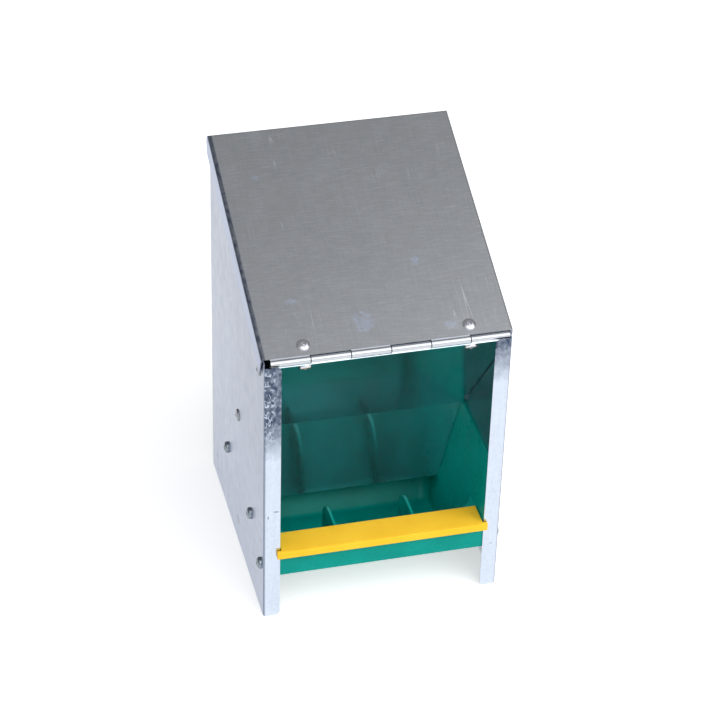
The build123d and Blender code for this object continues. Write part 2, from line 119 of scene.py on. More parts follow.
class Graph:
    """The node tree of one material, with short calls to add and join nodes."""

    def __init__(self, name: str) -> None:
        """Start an empty material of the given name."""
        self.material = bpy.data.materials.new(name)
        self.start(self.material, "OutputMaterial", "Object")

    def start(self, owner: bpy.types.ID, output: str, coords: str) -> None:
        """Empty the owner's node tree and add its output and coordinates.

        Args:
            owner: Material or world.
            output: Kind of the output node.
            coords: Name of the coordinates to work in.
        """
        owner.use_nodes = True
        self.tree = owner.node_tree
        self.tree.nodes.clear()
        self.output = self.node(output)
        self.coords = self.node("TexCoord").outputs[coords]

    def node(
        self, kind: str, inputs: dict[str | int, object] | None = None, **settings: object
    ) -> bpy.types.Node:
        """Add a node.

        Args:
            kind: Blender's type name of the node, without ShaderNode in front.
            inputs: Output sockets, numbers or tuples for its inputs.
            **settings: Properties to set on the node.

        Returns:
            The new node.
        """
        made = self.tree.nodes.new(f"ShaderNode{kind}")
        for key, value in settings.items():
            setattr(made, key, value)
        for key, value in (inputs or {}).items():
            self.feed(made.inputs[key], value)
        return made

    def feed(self, socket: Socket, value: object) -> None:
        """Link a socket to another one, or set its value.

        Args:
            socket: The input socket.
            value: An output socket, or a number or tuple.
        """
        if isinstance(value, Socket):
            self.tree.links.new(value, socket)
        else:
            socket.default_value = value

    def mapped(self, stretch: Numbers | None, turn: Numbers = (0.0, 0.0, 0.0)) -> Socket:
        """The coordinates, turned and then scaled.

        Args:
            stretch: Factor along each axis, or None for the coordinates as they are.
            turn: Turn about each axis, in degrees.

        Returns:
            The vector socket.
        """
        if stretch is None:
            return self.coords
        angles = [math.radians(angle) for angle in turn]
        inputs = {"Vector": self.coords, "Rotation": angles, "Scale": stretch}
        return self.node("Mapping", inputs, vector_type="POINT").outputs["Vector"]

    def noise(self, size: float, octaves: float, vector: Socket | None = None) -> Socket:
        """Noise with features of about one size.

        Args:
            size: Size of a feature in metres.
            octaves: Octaves of finer noise.
            vector: Coordinates to use in place of the plain ones.

        Returns:
            The factor socket.
        """
        vector = self.coords if vector is None else vector
        inputs = {"Vector": vector, "Scale": 1.0 / size, "Detail": octaves}
        return self.node("TexNoise", inputs).outputs["Fac"]

    def pattern(self, wanted: Pattern) -> Socket:
        """Make a pattern, as a value socket."""
        noise = self.noise(wanted.size * MM, wanted.octaves, self.mapped(wanted.stretch))
        return self.level(noise, wanted.start, wanted.full, wanted.least, wanted.most)

    def relief(self, *reliefs: Relief) -> Socket:
        """Stack reliefs into a normal.

        Args:
            *reliefs: The reliefs, the coarsest first.

        Returns:
            The normal socket.
        """
        normal = {}
        for wanted in reliefs:
            height = self.noise(wanted.size * MM, wanted.octaves, self.mapped(wanted.stretch))
            inputs = {"Strength": 1.0, "Distance": wanted.depth * MM, "Height": height, **normal}
            normal = {"Normal": self.node("Bump", inputs).outputs["Normal"]}
        return normal["Normal"]

    def cells(self, size: float, feature: str, result: str, vector: Socket) -> Socket:
        """Measure irregular cells of a size; feature and result are Blender's names."""
        inputs = {"Vector": vector, "Scale": 1.0 / size}
        return self.node("TexVoronoi", inputs, feature=feature).outputs[result]

    def marks(self, places: Marks, ragged: float) -> Socket:
        """Patches with soft, ragged edges.

        Args:
            places: Middle and half size along each axis of every patch, in millimetres.
            ragged: How far the edge wanders, as a share of the size.

        Returns:
            A socket that is 1 in the patches and 0 away from them.
        """
        patches = []
        for middle, reach in places:
            location, scale = ([value * MM for value in values] for values in (middle, reach))
            inputs = {"Vector": self.coords, "Location": location, "Scale": scale}
            vector = self.node("Mapping", inputs, vector_type="TEXTURE").outputs["Vector"]
            length = self.node("VectorMath", {0: vector}, operation="LENGTH").outputs["Value"]
            noise = self.noise(min(scale) * EDGE_GRAIN, EDGE_OCTAVES)
            wander = self.times(self.maths("SUBTRACT", noise, 0.5), ragged / NOISE_SPREAD)
            patches.append(self.level(self.maths("ADD", length, wander), *EDGE_RANGE, 1.0, 0.0))
        return self.maths("MAXIMUM", *patches)

    def level(self, value: Socket, low: float, high: float, to_low: float = 0, to_high: float = 1) -> Socket:
        """Map the range from low to high to that from to_low to to_high, clamped."""
        inputs = {"Value": value, "From Min": low, "From Max": high, "To Min": to_low, "To Max": to_high}
        return self.node("MapRange", inputs, clamp=True).outputs["Result"]

    def below(self, value: Socket, limit: float, fade: float, share: float = 1.0) -> Socket:
        """A share where a value is under a limit, fading to 0 over a range above it."""
        return self.level(value, limit, limit + fade, share, 0.0)

    def maths(self, operation: str, *values: object) -> Socket:
        """Join values, one after another, by an operation.

        Args:
            operation: Blender's name of the operation.
            *values: Values or sockets.

        Returns:
            The result socket.
        """
        result = values[0]
        for value in values[1:]:
            result = self.node("Math", {0: result, 1: value}, operation=operation).outputs["Value"]
        return result

    def times(self, *values: object) -> Socket:
        """Multiply values and sockets."""
        return self.maths("MULTIPLY", *values)

    def off(self, value: Socket, middle: float) -> Socket:
        """How far a value is from a middle one."""
        return self.maths("ABSOLUTE", self.maths("SUBTRACT", value, middle), 0.0)

    def place(self, axis: str) -> Socket:
        """One coordinate of the surface, in metres."""
        return self.node("SeparateXYZ", {"Vector": self.coords}).outputs[axis]

    def cover(self, colour: Colour, *layers: tuple[Socket, Colour]) -> Socket:
        """Lay colours over one another.

        Args:
            colour: The lowest colour.
            *layers: Where each further colour lies, and the colour.

        Returns:
            The colour socket.
        """
        result = (*colour, 1.0)
        for share, tint in layers:
            inputs = {0: share, MIX_LOW: result, MIX_HIGH: (*tint, 1.0)}
            result = self.node("Mix", inputs, data_type="RGBA").outputs[2]
        return result

    def finish(self, colour: Socket, roughness: object, normal: Socket, **fixed: float) -> Material:
        """Join everything to the surface shader.

        Args:
            colour: Colour socket.
            roughness: Roughness socket or value.
            normal: Normal socket.
            **fixed: Values for other sockets, with underscores for spaces.

        Returns:
            The finished material.
        """
        inputs = {"Base Color": colour, "Roughness": roughness, "Normal": normal}
        inputs.update((key.replace("_", " "), value) for key, value in fixed.items())
        shader = self.node("BsdfPrincipled", inputs)
        self.feed(self.output.inputs["Surface"], shader.outputs["BSDF"])
        return self.material


@dataclass(frozen=True)
class Finish:
    """A finish with a name and a main colour."""

    name: str
    colour: Colour

    def layers(self, graph: Graph) -> Layers:
        """Marks at given places, the lowest first; a plain finish has none."""
        yield from ()


@dataclass(frozen=True)
class Galvanised(Finish):
    """Zinc-coated sheet: fine spangle, rolling lines, smudges and scratches."""

    stain: Colour = (0.52, 0.53, 0.55)
    smudge: Colour = (0.78, 0.82, 0.92)
    scratch: Colour = (0.86, 0.88, 0.92)
    spot: Colour = (0.30, 0.29, 0.28)
    roughness: float = 0.30
    smudge_roughness: float = 0.25
    metallic: float = 1.0
    spangle: float = 2.4 * MM
    spangle_contrast: float = 0.05
    grain: Pattern = Pattern(0.45, 2.0, 0.3, 0.7, 1.05, 0.95)
    streaks: Pattern = Pattern(1.2, 2.0, 0.3, 0.7, 1.03, 0.97, (1.0, 0.04, 0.04))
    clouds: Pattern = Pattern(57.2, 3.0, 0.42, 0.62, 0.15)
    smudges: Pattern = Pattern(26.0, 6.0, 0.60, 0.74, 0.3)
    spots: Pattern = Pattern(3.0, 3.0, 0.72, 0.78, 0.35)
    dulling: Pattern = Pattern(9.0, 4.0, 0.3, 0.7, 1.15, 0.85)
    scratch_turns: Sequence[Numbers] = ((8.0, 14.0, 27.0), (-31.0, 23.0, -52.0))
    scratch_spreads: Numbers = (7.0 * MM, 9.0 * MM)
    scratch_stretch: Numbers = (1.0, 0.03, 0.03)
    scratch_width: float = 0.006
    scratch_share: float = 0.35
    scratched: Pattern = Pattern(30.0, 1.0, 0.56, 0.66)
    waves: Relief = Relief(45.0, 0.05)
    skin: Relief = Relief(0.45, 0.003)

    def scratches(self, graph: Graph) -> Socket:
        """Thin broken lines in two directions.

        Args:
            graph: The material's nodes.

        Returns:
            A socket that is 1 on a scratch.
        """
        found = []
        for turn, spread in zip(self.scratch_turns, self.scratch_spreads):
            lines = graph.noise(spread, 0.0, graph.mapped(self.scratch_stretch, turn))
            thin = graph.below(graph.off(lines, 0.5), 0.0, self.scratch_width)
            found.append(graph.times(thin, graph.pattern(self.scratched)))
        return graph.maths("MAXIMUM", *found)

    def make(self) -> Material:
        """Build the material.

        Returns:
            The finished material.
        """
        graph = Graph(self.name)
        half = self.spangle_contrast / 2
        cells = graph.cells(self.spangle, "F1", "Color", graph.coords)
        grey = graph.node("RGBToBW", {"Color": cells}).outputs["Val"]
        spangle = graph.level(grey, *CELL_RANGE, 1.0 - half, 1.0 + half)
        tone = graph.times(spangle, graph.pattern(self.grain), graph.pattern(self.streaks))
        smudges = graph.pattern(self.smudges)
        colour = graph.cover(
            self.colour,
            (graph.pattern(self.clouds), self.stain),
            (smudges, self.smudge),
            (graph.times(self.scratches(graph), self.scratch_share), self.scratch),
            (graph.pattern(self.spots), self.spot),
            *self.layers(graph),
        )
        toned = graph.node("VectorMath", {"Vector": colour, "Scale": tone}, operation="SCALE")
        rough = graph.times(graph.pattern(self.dulling), self.roughness)
        rough = graph.maths("ADD", rough, graph.times(smudges, self.smudge_roughness))
        relief = graph.relief(self.waves, self.skin)
        return graph.finish(toned.outputs["Vector"], rough, relief, Metallic=self.metallic)


@dataclass(frozen=True)
class HousingSheet(Galvanised):
    """The housing's sheet: rubbed left panel, neutral inside, crazed flanges with a painted highlight,
    painted dark reflection in the bends, painted shade on the upper left panel.
    """

    name: str = "galvanised_housing"
    # The bluish grey is partly the sheet's own tone and partly painted blue light
    colour: Colour = (0.35, 0.40, 0.52)
    stain: Colour = (0.29, 0.33, 0.42)
    roughness: float = 0.22
    smudges: Pattern = Pattern(26.0, 6.0, 0.60, 0.74, 0.14)
    # Rubbed spots and an arc on the left panel
    rub: Colour = (0.13, 0.12, 0.15)
    rub_share: float = 0.5
    rub_ragged: float = 0.9
    rubs: Marks = tuple(
        ((-93.0, y, z), (2.0, along, up))
        for y, z, along, up in (
            (-42.8, 206.3, 3.0, 2.0),
            (-57.4, 190.1, 2.0, 2.5),
            (-55.3, 173.8, 2.0, 4.5),
            (-82.5, 130.5, 2.0, 1.8),
            (-86.7, 68.3, 4.0, 3.5),
            (-90.0, 29.4, 2.0, 3.0),
            (-62.5, 33.3, 3.5, 1.5),
            (-5.7, 22.4, 5.0, 3.0),
            (75.9, 22.1, 4.0, 2.0),
        )
    )
    arc_middle: Numbers = (-93.0 * MM, -79.0 * MM, 132.0 * MM)
    arc_radius: float = 29.0 * MM
    arc_core: float = 0.8 * MM
    arc_fade: float = 1.2 * MM
    arc_share: float = 0.8
    arc_part: Marks = (((-93.0, -79.0, 161.0), (3.0, 15.0, 9.0)),)
    arc_ragged: float = 0.1
    # The inside is neutral; painted shade darkens the left half towards its top
    inner: Colour = (0.62, 0.64, 0.68)
    inner_x: float = 92.3 * MM
    inner_y: float = 98.2 * MM
    inner_fade: float = 0.3 * MM
    inner_share: float = 0.9
    painted_shade_z: Numbers = (90.0 * MM, 230.0 * MM)
    film_and_shade_share: float = 0.36
    # Painted highlight on the flanges, a lighter copy of the sheet colour, and painted dark reflection in the
    # bends between them and the panels
    painted_flange_highlight: Colour = (0.55, 0.61, 0.71)
    painted_flange_highlight_share: float = 0.9
    flange_y: float = -98.3 * MM
    flange_fade: float = 0.5 * MM
    painted_flange_bend_reflection: Colour = (0.15, 0.18, 0.25)
    painted_flange_bend_reflection_share: float = 0.75
    bend_x: Numbers = (91.6 * MM, 92.0 * MM)
    bend_y: float = -97.0 * MM
    bend_fade: float = 0.4 * MM
    # Crazed coating at the tops of the flanges, which starts higher on the right
    dull_coat_and_shade: Colour = (0.05, 0.07, 0.115)
    crack: Colour = (0.60, 0.67, 0.80)
    crazed_z: Numbers = (150.0 * MM, 186.0 * MM)
    crazed_right_up: float = 46.0 * MM
    uneven_size: float = 9.0 * MM
    uneven_octaves: float = 2.0
    uneven_depth: float = 26.0 * MM
    mottle: Pattern = Pattern(3.4, 2.0, 0.34, 0.6, 1.0, 0.72, (1.0, 1.0, 0.6))
    crack_size: float = 3.6 * MM
    crack_width: float = 0.12
    crack_stretch: Numbers = (1.6, 1.0, 0.8)
    crack_turn: Numbers = (0.0, 30.0, 0.0)
    crack_breaks: Pattern = Pattern(4.0, 2.0, 0.46, 0.56, 0.9)
    crack_x: Numbers = (-87.0 * MM, -84.0 * MM)
    crack_least: float = 0.25
    nick_share: float = 0.6
    nick_ragged: float = 0.5
    nicks: Marks = (
        ((-89.6, -99.3, 97.8), (0.8, 2.0, 1.6)),
        ((-83.6, -99.3, 102.6), (2.2, 2.0, 1.0)),
        ((87.0, -99.3, 42.0), (0.7, 2.0, 0.7)),
    )

    def panels(self, graph: Graph) -> Layers:
        """Rub the left panel, scratch an arc into it, make the inside neutral and paint shade onto the left
        half towards its top.

        Args:
            graph: The material's nodes.

        Returns:
            The layers, the lowest first.
        """
        away = graph.node("VectorMath", {0: graph.coords, 1: self.arc_middle}, operation="DISTANCE")
        off_arc = graph.off(away.outputs["Value"], self.arc_radius)
        line = graph.below(off_arc, self.arc_core, self.arc_fade, self.arc_share)
        arc = graph.times(line, graph.marks(self.arc_part, self.arc_ragged))
        rubbed = graph.maths("MAXIMUM", arc, graph.marks(self.rubs, self.rub_ragged))
        yield graph.times(rubbed, self.rub_share), self.rub
        between = graph.below(graph.off(graph.place("X"), 0.0), self.inner_x, self.inner_fade)
        ahead = graph.below(graph.place("Y"), self.inner_y, self.inner_fade)
        yield graph.times(between, ahead, self.inner_share), self.inner
        # Painted shade: the left half gets darker towards its top
        film_and_shade = graph.level(graph.place("Z"), *self.painted_shade_z, 0.0, self.film_and_shade_share)
        yield graph.times(film_and_shade, graph.below(graph.place("X"), -MM, 2 * MM)), self.dull_coat_and_shade

    def layers(self, graph: Graph) -> Layers:
        """Mark the panels, paint a highlight onto the flanges, paint dark reflection into the bends and craze
        the tops.

        Args:
            graph: The material's nodes.

        Returns:
            The layers, the lowest first.
        """
        yield from self.panels(graph)
        on_flange = graph.below(graph.place("Y"), self.flange_y, self.flange_fade)
        # Painted highlight: a lighter copy of the sheet colour on the flanges
        yield graph.times(on_flange, self.painted_flange_highlight_share), self.painted_flange_highlight
        # Painted dark reflection in the bends between the flanges and the panels
        outer = graph.level(graph.off(graph.place("X"), 0.0), *self.bend_x)
        ahead = graph.below(graph.place("Y"), self.bend_y, self.bend_fade)
        yield graph.times(outer, ahead, self.painted_flange_bend_reflection_share), self.painted_flange_bend_reflection
        uneven = graph.maths("SUBTRACT", graph.noise(self.uneven_size, self.uneven_octaves), 0.5)
        height = graph.maths("ADD", graph.place("Z"), graph.times(uneven, self.uneven_depth))
        raised = graph.level(graph.place("X"), -MM, MM, 0.0, self.crazed_right_up)
        high = graph.level(graph.maths("SUBTRACT", height, raised), *self.crazed_z)
        crazed = graph.times(on_flange, high)
        yield graph.times(crazed, graph.pattern(self.mottle)), self.dull_coat_and_shade
        vector = graph.mapped(self.crack_stretch, self.crack_turn)
        edge = graph.cells(self.crack_size, "DISTANCE_TO_EDGE", "Distance", vector)
        yield graph.times(
            graph.below(edge, 0.0, self.crack_width),
            graph.pattern(self.crack_breaks),
            crazed,
            graph.level(graph.place("X"), *self.crack_x, 1.0, self.crack_least),
        ), self.crack
        yield graph.times(graph.marks(self.nicks, self.nick_ragged), self.nick_share), self.rub


@dataclass(frozen=True)
class LidSheet(Galvanised):
    """The lid's sheet: smudged and brushed, with painted mottled dark reflection in its left bend and painted
    shade and blue light on its lips.
    """

    name: str = "galvanised_lid"
    colour: Colour = (0.465, 0.48, 0.505)
    stain: Colour = (0.40, 0.42, 0.445)
    roughness: float = 0.32
    spangle: float = 1.6 * MM
    spangle_contrast: float = 0.03
    clouds: Pattern = Pattern(57.2, 3.0, 0.42, 0.62, 0.10)
    smudges: Pattern = Pattern(26.0, 6.0, 0.60, 0.74, 0.06)
    dulling: Pattern = Pattern(9.0, 4.0, 0.3, 0.7, 1.04, 0.96)
    scratch_share: float = 0.55
    waves: Relief = Relief(45.0, 0.03)
    film_and_shade: Colour = (0.60, 0.70, 0.98)
    film_and_shade_share: float = 0.5
    film_ragged: float = 0.8
    films: Marks = (
        ((-13.0, -73.0, 248.6), (7.0, 9.0, 6.0)),
        ((50.0, -84.0, 245.0), (4.0, 4.0, 6.0)),
        ((36.8, -27.8, 265.8), (3.0, 5.0, 6.0)),
        ((-66.0, 57.5, 298.3), (3.0, 2.2, 6.0)),
        ((-62.0, -50.0, 257.0), (5.0, 2.0, 6.0)),
    )
    speckle: Pattern = Pattern(0.9, 3.0, 0.35, 0.65, 1.0, 0.2)
    pale: Colour = (0.86, 0.90, 0.95)
    brush_size: float = 0.7 * MM
    brush_octaves: float = 2.0
    brush_stretch: Numbers = (0.06, 1.0, 1.0)
    brush_turns: Numbers = (14.0, -11.0)
    brush_range: Numbers = (0.52, 0.72)
    brush_share: float = 0.16
    # Painted dark reflection in the left bend
    painted_lid_bend_reflection: Colour = (0.07, 0.095, 0.16)
    painted_lid_bend_reflection_share: float = 0.92
    band_outer: Numbers = (-94.4 * MM, -94.1 * MM)
    band_inner: Numbers = (-91.7 * MM, -90.9 * MM)
    mottle: Pattern = Pattern(3.0, 3.0, 0.3, 0.65, 1.0, 0.5, (1.0, 0.5, 0.5))
    # Painted shade and blue light on the lips, in the outer panels' colour
    painted_lip_shade: Colour = (0.33, 0.39, 0.54)
    lip_x: Numbers = (94.4 * MM, 94.5 * MM)
    painted_lip_shade_share: float = 0.9

    def layers(self, graph: Graph) -> Layers:
        """Smudge and brush the top, paint dark reflection into the left bend and paint shade and blue light
        onto the lips.

        Args:
            graph: The material's nodes.

        Returns:
            The layers, the lowest first.
        """
        smudged = graph.marks(self.films, self.film_ragged)
        yield graph.times(smudged, graph.pattern(self.speckle), self.film_and_shade_share), self.film_and_shade
        for turn in self.brush_turns:
            vector = graph.mapped(self.brush_stretch, (0.0, 0.0, turn))
            lines = graph.noise(self.brush_size, self.brush_octaves, vector)
            yield graph.level(lines, *self.brush_range, 0.0, self.brush_share), self.pale
        # Painted dark reflection, mottled, in the lid's left bend
        yield graph.times(
            graph.level(graph.place("X"), *self.band_inner, 1.0, 0.0),
            graph.level(graph.place("X"), *self.band_outer),
            graph.pattern(self.mottle),
            self.painted_lid_bend_reflection_share,
        ), self.painted_lid_bend_reflection
        # Painted shade and blue light on the lips, in the outer panels' colour
        yield graph.level(graph.off(graph.place("X"), 0.0), *self.lip_x, 0.0, self.painted_lip_shade_share), self.painted_lip_shade


@dataclass(frozen=True)
class PlateSheet(Galvanised):
    """The hopper plate's sheet: bright, brushed across, with specks of dust."""

    name: str = "galvanised_plate"
    colour: Colour = (0.76, 0.91, 1.0)
    roughness: float = 0.09
    metallic: float = 0.978
    clouds: Pattern = Pattern(57.2, 3.0, 0.42, 0.62, 0.1)
    smudges: Pattern = Pattern(26.0, 6.0, 0.60, 0.74, 0.12)
    brushing: Pattern = Pattern(0.5, 3.0, 0.3, 0.7, 0.22, 0.0, (0.02, 1.0, 1.0))
    dust: Colour = (0.9, 0.95, 0.97)
    specks: Pattern = Pattern(0.7, 2.0, 0.68, 0.74, 0.8)
    dusty: Pattern = Pattern(22.0, 2.0, 0.42, 0.6)

    def layers(self, graph: Graph) -> Layers:
        """Brush the plate across and dust it."""
        yield graph.pattern(self.brushing), self.stain
        yield graph.times(graph.pattern(self.specks), graph.pattern(self.dusty)), self.dust


@dataclass(frozen=True)
class BrightMetal(Finish):
    """Plated or plain bright metal with fine turned or drawn lines."""

    tarnish: Colour = (0.55, 0.56, 0.58)
    roughness: float = 0.2
    tarnished: Pattern = Pattern(1.6, 4.0, 0.48, 0.72, 0.6)
    dulling: Pattern = Pattern(1.0, 3.0, 0.3, 0.7, 1.3, 0.8)
    lines: Relief = Relief(0.4, 0.004, 2.0)

    def make(self) -> Material:
        """Build the material.

        Returns:
            The finished material.
        """
        graph = Graph(self.name)
        tarnish = (graph.pattern(self.tarnished), self.tarnish)
        colour = graph.cover(self.colour, tarnish, *self.layers(graph))
        rough = graph.times(graph.pattern(self.dulling), self.roughness)
        return graph.finish(colour, rough, graph.relief(self.lines), Metallic=1.0)


@dataclass(frozen=True)
class KnuckleSteel(BrightMetal):
    """The hinge's steel, dark in the joints between its knuckles."""

    name: str = "hinge_steel"
    colour: Colour = (0.50, 0.52, 0.56)
    roughness: float = 0.15
    lines: Relief = Relief(0.25, 0.004, 2.0, (0.03, 1.0, 1.0))
    joint: Colour = (0.04, 0.04, 0.045)
    joint_share: float = 0.9
    joint_start: float = -88.1 * MM
    joint_pitch: float = 30.0 * MM
    joint_width: float = 0.35 * MM
    joint_fade: float = 0.1 * MM
    lead: float = 10.5  # in pitches; keeps what is divided positive, with a joint mid-period

    def layers(self, graph: Graph) -> Layers:
        """Darken the joints between the knuckles.

        Args:
            graph: The material's nodes.

        Returns:
            The layer of the joints.
        """
        start = self.joint_start - self.lead * self.joint_pitch
        along = graph.maths("SUBTRACT", graph.place("X"), start)
        off = graph.off(graph.maths("MODULO", along, self.joint_pitch), self.joint_pitch / 2)
        yield graph.below(off, self.joint_width, self.joint_fade, self.joint_share), self.joint


@dataclass(frozen=True)
class MouldedPlastic(Finish):
    """Moulded plastic: soft flow marks, a fine skin and light dust."""

    deep: Colour
    dust: Colour
    roughness: float
    gloss: float = 0.1
    flow: Pattern = Pattern(28.0, 2.0, 0.35, 0.65)
    specks: Pattern = Pattern(0.8, 3.0, 0.66, 0.76, 0.25)
    dusty: Pattern = Pattern(18.0, 3.0, 0.45, 0.65, 1.0, 0.1)
    dulling: Pattern = Pattern(7.0, 3.0, 0.3, 0.7, 1.2, 0.85)
    hollows: Relief = Relief(6.0, 0.012)
    skin: Relief = Relief(0.5, 0.006, 2.0)

    def make(self) -> Material:
        """Build the material.

        Returns:
            The finished material.
        """
        graph = Graph(self.name)
        dust = graph.times(graph.pattern(self.specks), graph.pattern(self.dusty))
        colour = graph.cover(self.colour, (graph.pattern(self.flow), self.deep), (dust, self.dust))
        rough = graph.times(graph.pattern(self.dulling), self.roughness)
        relief = graph.relief(self.hollows, self.skin)
        return graph.finish(colour, rough, relief, Specular_IOR_Level=self.gloss)


class Workbench:
    """One mesh being modelled with Blender's own editing tools."""

    def __init__(self, name: str) -> None:
        """Name the piece to be modelled, and deselect everything."""
        self.name = name
        bpy.ops.object.select_all(action="DESELECT")

    def cylinder(self, radius: float, low: float, high: float, sides: int) -> None:
        """Start from a closed cylinder along Z.

        Args:
            radius: Radius of the cylinder.
            low: Height of its lower end.
            high: Height of its upper end.
            sides: Number of sides.
        """
        bpy.ops.mesh.primitive_cylinder_add(
            vertices=sides, radius=radius, depth=high - low, location=(0, 0, (low + high) / 2)
        )
        self.take()

    def cube(self, low: Numbers, high: Numbers) -> None:
        """Start from a block between two corners.

        Args:
            low: Lowest corner.
            high: Highest corner.
        """
        middle = [(a + b) / 2 for a, b in zip(low, high)]
        size = [b - a for a, b in zip(low, high)]
        bpy.ops.mesh.primitive_cube_add(size=1, location=middle, scale=size)
        self.take()

    def take(self) -> None:
        """Name the active object and put its place into its mesh."""
        self.obj = bpy.context.active_object
        self.obj.name = self.name
        self.obj.data.name = self.name
        bpy.ops.object.transform_apply(location=True, rotation=True, scale=True)

    def pick(self, wanted: Callable[[bpy.types.MeshPolygon], bool]) -> None:
        """Select faces and enter edit mode.

        Args:
            wanted: Says whether a face is selected.
        """
        bpy.ops.object.mode_set(mode="EDIT")
        bpy.ops.mesh.select_mode(type="FACE")
        bpy.ops.mesh.select_all(action="DESELECT")
        bpy.ops.object.mode_set(mode="OBJECT")
        for face in self.obj.data.polygons:
            face.select = bool(wanted(face))
        bpy.ops.object.mode_set(mode="EDIT")

    def pick_end(self, sign: int) -> None:
        """Select the face at the top or bottom end.

        Args:
            sign: 1 for the top and -1 for the bottom.
        """
        best = max(self.obj.data.polygons, key=lambda face: (sign * face.center.z, face.area))
        index = best.index
        self.pick(lambda face: face.index == index)

    def inset(self, width: float, rise: float = 0.0) -> None:
        """Inset the selected face by a width, and raise it along its normal."""
        bpy.ops.mesh.inset(thickness=width, depth=rise, use_even_offset=False)

    def push(self, move: Numbers) -> None:
        """Extrude the selected faces by a move."""
        bpy.ops.mesh.extrude_region_move(TRANSFORM_OT_translate={"value": tuple(move)})

    def sink(self, depth: float, factor: float = 1.0) -> None:
        """Extrude the selected face down by a depth, and scale the new one across Z."""
        self.push((0, 0, -depth))
        bpy.ops.transform.resize(value=(factor, factor, 1), center_override=(0, 0, 0))

    def done(self) -> None:
        """Leave edit mode."""
        bpy.ops.object.mode_set(mode="OBJECT")

    def modifier(self, kind: str, **settings: object) -> None:
        """Add a modifier, set it and apply it.

        Args:
            kind: Blender's type name of the modifier.
            **settings: Properties of the modifier.
        """
        self.select()
        made = self.obj.modifiers.new(kind.title(), kind)
        for key, value in settings.items():
            setattr(made, key, value)
        bpy.ops.object.modifier_apply(modifier=made.name)

    def select(self) -> None:
        """Make this the only selected object, and the active one."""
        bpy.ops.object.select_all(action="DESELECT")
        self.obj.select_set(True)
        bpy.context.view_layer.objects.active = self.obj

    def smooth(self, angle: float) -> None:
        """Shade smooth, with edges sharper than an angle in degrees kept."""
        self.select()
        bpy.ops.object.shade_smooth_by_angle(angle=math.radians(angle))

    def dome(self, reach: float, height: float, steps: int) -> None:
        """Round the selected end.

        Args:
            reach: How far the dome closes in from the edge.
            height: Height of the dome.
            steps: Number of its steps.
        """
        for step in range(steps):
            back = math.pi / 2 * step / steps
            turn = math.pi / 2 * (step + 1) / steps
            rise = height * (math.sin(turn) - math.sin(back))
            self.inset(reach * (math.cos(back) - math.cos(turn)), rise)


def copy_to(pattern: Object, name: str, place: Matrix) -> Object:
    """Copy a modelled piece, with its own mesh, to a place in the frame.

    Args:
        pattern: The piece to copy.
        name: Name of the copy.
        place: Where it goes, which is put into the mesh.

    Returns:
        The copy, whose object sits at the origin.
    """
    made = bpy.data.objects.new(name, pattern.data.copy())
    made.data.name = name
    made.data.transform(place)
    made.data.update()
    bpy.context.scene.collection.objects.link(made)
    return made


def put_on(obj: Object, body: Body, slot: Slot, material: Material, nodes: Iterable[str]) -> None:
    """Dress a new piece and put it in the place of CAD nodes.

    Args:
        obj: The piece.
        body: Body that it moves with.
        slot: Not used.
        material: Its material.
        nodes: Nodes that it stands for.
    """
    obj.data.materials.clear()
    obj.data.materials.append(material)
    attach(obj, body.value)
    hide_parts(*nodes)
    LOG.info("piece %s for %s", obj.name, ", ".join(nodes))


def middle_of(node: str) -> Vector:
    """Middle of a CAD node's box."""
    low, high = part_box(node)
    return (low + high) / 2


@dataclass(frozen=True)
class Places:
    """Places on the lid and the hopper plate, which run back from the hinge, and on the sides."""

    lid_slope: float = 20.8
    plate_slope: float = -52.39
    barrel_radius: float = 2.56 * MM
    sheet: float = 0.8 * MM
    panel_x: float = 93.0 * MM

    def at_hinge(self, node: str, slope: float, reach: float, side: int) -> Matrix:
        """Place on a sheet that runs back from the hinge, +Z out of it.

        Args:
            node: CAD node that gives the place across the feeder.
            slope: Slope of the sheet in degrees, upwards to the rear.
            reach: Distance along the sheet from the hinge axis.
            side: 1 on top of the sheet and -1 under it.

        Returns:
            The placing matrix.
        """
        axis = middle_of("hinge_pin")
        turn = Matrix.Rotation(math.radians(slope), 4, "X")
        face = Matrix.Translation((0, reach, side * (self.barrel_radius + self.sheet)))
        out = Matrix.Rotation(0.0 if side > 0 else math.pi, 4, "X")
        return Matrix.Translation((middle_of(node).x, axis.y, axis.z)) @ turn @ face @ out

    def on_side(self, node: str, side: int) -> Matrix:
        """Place on a side panel at a CAD node's middle, +Z out of the panel.

        Args:
            node: Name of the node.
            side: -1 for the left panel and 1 for the right one.

        Returns:
            The placing matrix.
        """
        middle = middle_of(node)
        turn = Matrix.Rotation(side * math.pi / 2, 4, "Y")
        return Matrix.Translation((side * self.panel_x, middle.y, middle.z)) @ turn


